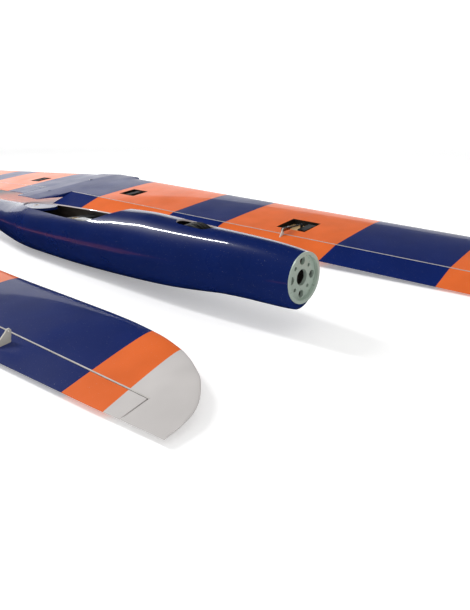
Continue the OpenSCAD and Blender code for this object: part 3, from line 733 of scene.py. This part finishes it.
@dataclass
class CentrePanel:
    """The one-piece wing panel that lies bottom up, with flaps and ailerons."""

    paints: Paints
    at: Point = (-738.9, 346.5, 7.1)
    root: float = 201.0
    taper: float = 0.055
    dihedral: float = 2.07
    tilt: float = 5.87
    sweep: float = 0.004
    hinge: float = 0.757
    centre: float = 52.0
    foil: Foil = Foil(0.088, 0.016)
    flap_bay: Bay = Bay(178.5, 0.484, 41, 35)
    aileron_bay: Bay = Bay(556.5, 0.514, 47, 41)
    bay_depth: float = 10.5
    flap_sag: float = 13.9
    aileron_sag: float = 10.6

    def chord(self, s: float) -> float:
        """Chord at span s."""
        return self.root - self.taper * abs(s)

    def place(self, s: float, c: float, z: float) -> Point:
        """Point at span s, chord distance c and height z off the chord."""
        d, t = math.radians(self.dihedral), math.radians(self.tilt)
        return (
            self.at[0] + s * math.cos(d),
            self.at[1] - self.sweep * abs(s) - c * math.cos(t) - z * math.sin(t),
            self.at[2] - abs(s) * math.sin(d) - c * math.sin(t) + z * math.cos(t),
        )

    def nose(self, s: float) -> float:
        """How far the leading edge stands forward near the middle."""
        ease = min(max((66 - abs(s)) / 7, 0.0), 1.0)
        return ease * ease * (3 - 2 * ease)

    def tail(self, s: float) -> float:
        """How far the fixed trailing edge stands back near the middle."""
        ease = min(max((self.centre - abs(s)) / 13, 0.0), 1.0)
        return ease * ease * (3 - 2 * ease)

    def skin(self) -> None:
        """Lacquered skin with its bays, and the fixed trailing edge in the middle."""
        piece = Piece("wing_skin")
        bays = (self.flap_bay, self.aileron_bay)
        edges = sorted({round(b.f + k * b.deep / 2 / self.chord(b.s), 4) for b in bays for k in (-1, 1)})
        b_end = self.hinge - 0.0045
        up = bunched(0, b_end, 30, edges)
        aft = steps(b_end, 1.0, 8)[1:]
        marks = sorted({sign * (b.s + k * b.wide / 2) for b in bays for k in (-1, 1) for sign in (-1, 1)}
                       | {sign * s for s in (0.0, self.centre, 39.0, 59.0, 66.0, 890.0) for sign in (-1, 1)})
        spans: list[float] = []
        for p, q in zip(marks, marks[1:]):
            spans += steps(p, q, max(1, int((q - p) / (3 if abs(p + q) < 134 else 28))))[:-1]
        spans.append(marks[-1])
        n_up = len(up)
        down = list(reversed(up))[:-1]

        def ring(s: float) -> list[Point]:
            """Section of the fixed skin at span s, over the top and back below."""
            c, e = self.chord(s), self.nose(s) * 12
            lift = [self.place(s, c * f - e * (1 - f / b_end) ** 2, c * self.foil.up(f)) for f in up]
            drop = [self.place(s, c * f - e * (1 - f / b_end) ** 2, c * self.foil.down(f)) for f in down]
            return lift + drop

        def inside(i: int, j: int) -> bool:
            """Whether quad i, j belongs to the skin and not to a bay or the open rear edge."""
            mid_s = abs(spans[i] + spans[i + 1]) / 2
            if j < n_up - 1:
                mid_f = (up[j] + up[j + 1]) / 2
                for b in bays:
                    if abs(mid_s - b.s) < b.wide / 2 and abs(mid_f - b.f) < b.deep / 2 / self.chord(b.s):
                        return False
            return not (j == n_up - 1 and mid_s < self.centre)

        grid = piece.loft([ring(s) for s in spans], [[s] * (n_up + len(down)) for s in spans], keep=inside)
        middle = [s for s in spans if abs(s) <= self.centre + 0.01]
        rows = []
        for s in middle:
            c, e = self.chord(s), self.tail(s) * 19
            chords = [(f, c * f + e * ((f - b_end) / (1 - b_end)) ** 1.4) for f in [b_end] + aft]
            rows.append([self.place(s, y, c * self.foil.up(f)) for f, y in chords]
                        + [self.place(s, y, c * self.foil.down(f)) for f, y in reversed(chords)])
        m = 2 * (len(aft) + 1)
        piece.loft(rows, [[s] * m for s in middle], keep=lambda i, j: j != m - 1)
        self.pockets(piece, spans, up, grid)
        # the second finish is the near-black painted shade of the servo bays
        piece.finish((Look.WING, Look.SHADOW), self.paints, "wing", ["wing_panel"], 40.0)

    def pockets(self, piece: Piece, spans: list[float], up: list[float], grid: list) -> None:
        """Walls and floor of each servo bay, below the edge left in the skin, in the near-black painted shade
        colour.
        """
        for bay in (self.flap_bay, self.aileron_bay):
            for side in (-1, 1):
                rows = [i for i, s in enumerate(spans) if abs(s * side - bay.s) <= bay.wide / 2 + 0.01]
                half = bay.deep / 2 / self.chord(bay.s) + 0.0002
                cols = [j for j, f in enumerate(up) if abs(f - bay.f) <= half]
                loop = ([(rows[0], j) for j in cols] + [(i, cols[-1]) for i in rows[1:]]
                        + [(rows[-1], j) for j in reversed(cols[:-1])]
                        + [(i, cols[0]) for i in reversed(rows[1:-1])])
                rim = [grid[i][j] for i, j in loop]
                floor = []
                for i, j in loop:
                    s, f = spans[i], up[j]
                    c = self.chord(s)
                    floor.append(piece.vert(self.place(s, c * f, c * self.foil.up(f) - self.bay_depth), s))
                for k in range(len(rim)):
                    q = (k + 1) % len(rim)
                    piece.face((rim[k], rim[q], floor[q], floor[k]), 1)
                piece.face(floor, 1)

    def movable(self, name: str, body: str, node: str, side: int, span: Pair, sag: float) -> None:
        """A flap or aileron, hanging from the edge of the upper skin.

        Args:
            name: piece name.
            body: CAD body to ride.
            node: CAD node it stands for.
            side: +1 towards the nose end of the table, -1 the other way.
            span: inner and outer ends.
            sag: how far its trailing edge lies below the chord, in degrees.
        """
        piece = Piece(name)
        ends = steps(side * span[0], side * span[1], 16)
        f_up = bunched(self.hinge + 0.0015, 1.0, 10)
        f_down = list(reversed(bunched(self.hinge + 0.0275, 1.0, 10)))
        a = math.radians(sag)
        rings = []
        for s in ends:
            c = self.chord(s)
            hc, hz = c * self.hinge, c * self.foil.up(self.hinge)
            row = ([(c * f, c * self.foil.up(f)) for f in f_up]
                   + [(c * f, c * self.foil.down(f)) for f in f_down])
            rings.append([self.place(s, hc + (p - hc) * math.cos(a) + (z - hz) * math.sin(a),
                                     hz - (p - hc) * math.sin(a) + (z - hz) * math.cos(a)) for p, z in row])
        piece.loft(rings, [[s] * len(rings[0]) for s in ends])
        piece.finish((Look.WING,), self.paints, body, [node], 40.0)

    def seal(self) -> None:
        """Thin bright seal along the hinge edge of the fixed skin."""
        for side, name in ((1, "right"), (-1, "left")):
            piece = Piece(f"hinge_seal_{name}")
            rings = []
            for s in steps(side * 54, side * 889, 20):
                c = self.chord(s)
                f = self.hinge - 0.0045
                z = c * self.foil.up(f)
                rings.append([self.place(s, c * f - 0.9, z + 0.12), self.place(s, c * f + 0.25, z + 0.1),
                              self.place(s, c * f + 0.25, z - 0.5), self.place(s, c * f - 0.9, z - 0.3)])
            piece.loft(rings)
            piece.finish((Look.TAPE,), self.paints, "wing")

    def bolt_holes(self) -> None:
        """Rims of the two wing bolt bushes, flush with the skin, each with a flat near-black disc of painted
        shade where its bore is.
        """
        for k, c in enumerate((70.0, 168.0)):
            x = c / self.root
            z = self.root * self.foil.up(x)
            rim = Piece(f"bolt_bush_rim_{k}")

            def circle(r: float, h: float) -> list[Point]:
                """Circle of radius r about the bolt, h above the skin."""
                turns = (2 * math.pi * i / 32 for i in range(32))
                return [self.place(r * math.cos(t), c + r * math.sin(t), z + h) for t in turns]

            outline = ((3.6, -0.4), (3.6, 0.3), (2.7, 0.3), (2.6, -0.4))
            rim.loft([circle(r, h) for r, h in outline], caps=False)
            rim.finish((Look.TAIL_NAVY,), self.paints, "wing")
            # painted shade: a flat near-black disc just above the skin, where the bore's hole would be dark
            bore = Piece(f"bolt_bush_painted_shade_disc_{k}")
            bore.loft([circle(2.6, 0.12), circle(0.01, 0.12)], caps=True)
            bore.finish((Look.SHADOW,), self.paints, "wing")

    def build(self) -> None:
        """Make the skin, seals, bolt holes, flaps and ailerons."""
        self.skin()
        self.seal()
        self.bolt_holes()
        for side, name in ((1, "right"), (-1, "left")):
            self.movable(f"flap_skin_{name}", f"flap_{name}_body", f"flap_{name}", side,
                         (54, 448), self.flap_sag if side > 0 else 0.0)
            self.movable(f"aileron_skin_{name}", f"aileron_{name}_body", f"aileron_{name}", side,
                         (450, 888), self.aileron_sag if side > 0 else 0.0)


# ---------------------------------------------------------------- outer panels


@dataclass
class OuterPanel:
    """A plug-in outer panel with its aileron; the left one is the mirror image."""

    paints: Paints
    side: int = 1
    name: str = "right"
    root: float = -620.0
    mirror_x: float = -720.0
    te_z: float = 3.85
    thick: float = 0.08
    camber: float = 0.012
    yaw: float = 9.0
    # x, leading edge y, trailing edge y, leading edge height
    rows: tuple[tuple[float, ...], ...] = (
        (-620, -106, -254, 10.25), (-460, -104, -236.5, 10.05), (-300, -102, -217.5, 10.45),
        (-180, -100.2, -203.6, 12.25), (-120, -99.8, -196.6, 13.45), (-60, -103.4, -189.4, 14.45),
        (-28, -109.8, -185.6, 14.45), (-12, -115.4, -183.4, 13.95), (0, -121.4, -181.6, 13.25),
        (8, -125.8, -180.6, 12.45), (17, -133.6, -179.2, 11.25), (25, -142.6, -178.2, 9.65),
        (30.5, -152.4, -177.7, 8.05), (33, -163.4, -177.4, 6.45), (33.8, -175.4, -177.2, 5.55))

    def __post_init__(self) -> None:
        """Make the curves of the edges."""
        self.lead, self.trail, self.height = (Track.of(self.rows, k) for k in (1, 2, 3))

    def ring(
        self, x: float, a: float | None, b: float | None, cut: float = 0.0,
    ) -> tuple[list[Point], list[float]]:
        """Section at x, from chord fraction a to b; None means the hinge line.

        Args:
            x: place along the panel.
            a: first fraction, or None to start at the hinge.
            b: last fraction, or None to stop at the hinge.
            cut: how much later the lower face starts.
        Returns:
            The points and their span values for the colour bands.
        """
        ly, ty, lz = self.lead(x), self.trail(x), self.height(x)
        c = math.hypot(ly - ty, lz - self.te_z)
        tilt = math.atan2(lz - self.te_z, ly - ty)
        hinge = (ly - (-160.8 + 0.064 * x)) / (c * math.cos(tilt))
        foil = Foil(min(self.thick, 0.6 / c + self.thick * 0.93), self.camber)
        first = hinge + 0.25 / c if a is None else a
        last = hinge - 0.7 / c if b is None else b
        f_up = bunched(first, last, 26)
        f_down = list(reversed(bunched(first + cut, last, 26)))
        if first == 0:
            f_down = f_down[:-1]
        points, spans = [], []
        yaw = math.radians(self.yaw)
        for f, z in [(f, c * foil.up(f)) for f in f_up] + [(f, c * foil.down(f)) for f in f_down]:
            px, py = x + 3.1, ly - c * f * math.cos(tilt) - z * math.sin(tilt)
            spans.append((px + 64.6) * math.cos(yaw) + (py + 97.3) * math.sin(yaw))
            if self.side < 0:
                px = 2 * (self.mirror_x + 3.1) - px
            points.append((px, py, lz - c * f * math.sin(tilt) + z * math.cos(tilt) - 47.5))
        return points, spans

    def skin(
        self, piece: Piece, xs: Sequence[float], a: float | None, b: float | None, cut: float = 0.0,
    ) -> None:
        """Loft sections at xs."""
        pairs = [self.ring(x, a, b, cut) for x in xs]
        piece.loft([p for p, _ in pairs], [s for _, s in pairs])

    def seal(self) -> None:
        """Thin bright seal along the hinge."""
        piece = Piece(f"outer_hinge_seal_{self.name}")
        rings = []
        for x in steps(self.root + 36, 0.0, 30):
            fixed, _ = self.ring(x, 0, None)
            edge = Vector(fixed[26])
            inner = edge + (Vector(fixed[25]) - edge).normalized() * 0.55
            back = edge - (Vector(fixed[25]) - edge).normalized() * 0.5
            rings.append([tuple(inner + Vector((0, 0, 0.1))), tuple(back + Vector((0, 0, 0.1))),
                          tuple(back - Vector((0, 0, 0.4))), tuple(inner - Vector((0, 0, 0.3)))])
        piece.loft(rings)
        piece.finish((Look.TAPE,), self.paints, f"outer_{self.name}_body")

    def build(self) -> None:
        """Make the fixed skin and the aileron."""
        fixed = Piece(f"outer_skin_{self.name}")
        self.skin(fixed, steps(self.root, self.root + 34, 3), 0, 1)
        self.skin(fixed, steps(self.root + 34, -100, 20) + steps(-92, 0, 24), 0, None)
        tip = steps(0, 29, 24) + [29.8, 30.5, 31.1, 31.7, 32.2, 32.6, 33, 33.3, 33.55, 33.7, 33.8]
        self.skin(fixed, tip, 0, 1)
        fixed.finish((Look.OUTER,), self.paints, f"outer_{self.name}_body",
                     [f"outer_panel_{self.name}"], 40.0)
        self.seal()
        moving = Piece(f"outer_aileron_skin_{self.name}")
        self.skin(moving, steps(self.root + 35, -100, 20) + steps(-92, -1.2, 16), None, 1, 0.03)
        moving.finish((Look.OUTER,), self.paints, f"outer_aileron_{self.name}_body",
                      [f"outer_aileron_{self.name}"], 40.0)


# ---------------------------------------------------------------- CAD pieces that keep their shape


@dataclass
class Hardware:
    """Gives each CAD node that stays in sight its finish and smooth shading."""

    paints: Paints
    looks: dict[Look, tuple[str, ...]] = field(default_factory=lambda: {
        Look.RING: ("nose_ring",),
        Look.POD: ("tail_boom", "seat_plate_rear"),
        Look.CARBON: ("front_former", "rear_former", "seat_plate_front", "servo_tray", "tail_joiner_rods",
                      "joiner_sleeves", "outer_joiner_rods_left", "outer_joiner_rods_right"),
        Look.BRASS: ("wing_bolt_inserts",),
        Look.BLACK: ("tail_servos", "flap_servos", "aileron_servos", "speed_controller", "servo_arm_left",
                     "servo_arm_right"),
        Look.GREY: ("receiver",),
        Look.RUBBER: ("motor_leads",),
        Look.PLY: ("bay_frames",),
        Look.TAIL_NAVY: ("outer_servo_left", "outer_servo_right"),
        Look.NYLON: ("wing_bolt_bushes", "aileron_horn_left", "aileron_horn_right", "outer_horn_left",
                     "outer_horn_right", "tail_servo_arm_left", "tail_servo_arm_right",
                     "ruddervator_horn_left", "ruddervator_horn_right"),
        Look.STEEL: ("tail_rod_left", "tail_rod_right", "aileron_rod_left", "aileron_rod_right"),
    })

    def build(self) -> None:
        """Paint the nodes."""
        for look, names in self.looks.items():
            for name in names:
                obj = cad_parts[name]
                obj.data.materials.clear()
                obj.data.materials.append(self.paints.get(look))
                obj.data.shade_smooth()
                obj.data.set_sharp_from_angle(angle=math.radians(35))
                log.info("%s: %s", name, look.value.name)


# ---------------------------------------------------------------- studio


@dataclass
class Studio:
    """Camera, floor and lights."""

    floor_z: float = -47.5
    eye: Point = (212.9, -315.5, 114.9)
    heading_deg: float = 132.14
    pitch_deg: float = 20.2
    lens: float = 28.79

    def camera(self) -> None:
        data = bpy.data.cameras.new("camera")
        data.lens, data.sensor_width, data.clip_start = self.lens, 36.0, 0.01
        obj = bpy.data.objects.new("camera", data)
        h, p = math.radians(self.heading_deg), math.radians(self.pitch_deg)
        ahead = Vector((math.cos(h) * math.cos(p), math.sin(h) * math.cos(p), -math.sin(p)))
        obj.location = Vector(self.eye) * MM
        obj.rotation_euler = ahead.to_track_quat("-Z", "Y").to_euler()
        bpy.context.scene.collection.objects.link(obj)
        bpy.context.scene.camera = obj

    def floor(self) -> None:
        """Pale plain floor."""
        mesh = bpy.data.meshes.new("floor")
        r = 9.0
        mesh.from_pydata([(-r, -r, 0), (r, -r, 0), (r, r, 0), (-r, r, 0)], [], [(0, 1, 2, 3)])
        obj = bpy.data.objects.new("floor", mesh)
        obj.location.z = self.floor_z * MM - 0.0003
        g = Graph("pale_floor")
        g.bsdf.inputs["Base Color"].default_value = linear("#f6f6f6")
        g.bsdf.inputs["Roughness"].default_value = 0.6
        g.bsdf.inputs["Emission Color"].default_value = linear("#ffffff")
        g.bsdf.inputs["Emission Strength"].default_value = 0.28
        mesh.materials.append(g.material)
        obj.visible_glossy = False
        bpy.context.scene.collection.objects.link(obj)

    def backdrop(self) -> None:
        mesh = bpy.data.meshes.new("backdrop")
        r, n = 8.6, 24
        angles = [math.radians(85 + 95 * k / n) for k in range(n + 1)]
        ring = [(r * math.cos(a), r * math.sin(a)) for a in angles]
        mesh.from_pydata([(x, y, z) for z in (-0.3, 3.0) for x, y in ring], [],
                         [(k, k + 1, n + 2 + k, n + 1 + k) for k in range(n)])
        obj = bpy.data.objects.new("backdrop", mesh)
        g = Graph("white_wall")
        g.bsdf.inputs["Base Color"].default_value = linear("#ffffff")
        g.bsdf.inputs["Emission Color"].default_value = linear("#ffffff")
        g.bsdf.inputs["Emission Strength"].default_value = 0.6
        mesh.materials.append(g.material)
        bpy.context.scene.collection.objects.link(obj)

    def area(self, name: str, at: Point, aim: Point, size: Pair, power: float, colour: str) -> None:
        """Add a soft light.

        Args:
            name: name of the light.
            at: where it is, in metres.
            aim: what it points at, in metres.
            size: width and height in metres.
            power: watts.
            colour: sRGB hex.
        """
        data = bpy.data.lights.new(name, "AREA")
        data.shape, data.size, data.size_y = "RECTANGLE", *size
        data.energy, data.color = power, linear(colour)[:3]
        obj = bpy.data.objects.new(name, data)
        obj.location = at
        obj.rotation_euler = (Vector(aim) - Vector(at)).to_track_quat("-Z", "Y").to_euler()
        bpy.context.scene.collection.objects.link(obj)

    def build(self) -> None:
        """Set up the world, the camera, the floor and the lights."""
        world = bpy.data.worlds.new("studio")
        bpy.context.scene.world = world
        world.use_nodes = True
        world.node_tree.nodes["Background"].inputs[0].default_value = linear("#ffffff")
        world.node_tree.nodes["Background"].inputs[1].default_value = 0.7
        world.cycles_visibility.glossy = False
        self.camera()
        self.floor()
        self.backdrop()
        self.area("strip", (-1.66, -0.3, 1.3), (-0.2, 0.0, 0.0), (0.08, 1.0), 23.0, "#ffffff")
        self.area("top", (0.5, -0.5, 2.4), (-0.2, 0.0, 0.0), (1.6, 1.6), 2.4, "#fffaf4")
        bpy.context.scene.view_settings.view_transform = "Standard"


def main() -> None:
    """Build every piece and the studio."""
    paints = Paints()
    Hardware(paints).build()
    Fuselage(paints).build()
    VTail(paints).build()
    CentrePanel(paints).build()
    for side, name in ((1, "right"), (-1, "left")):
        OuterPanel(paints, side=side, name=name).build()
    Studio().build()


if __name__ == "__main__":
    main()
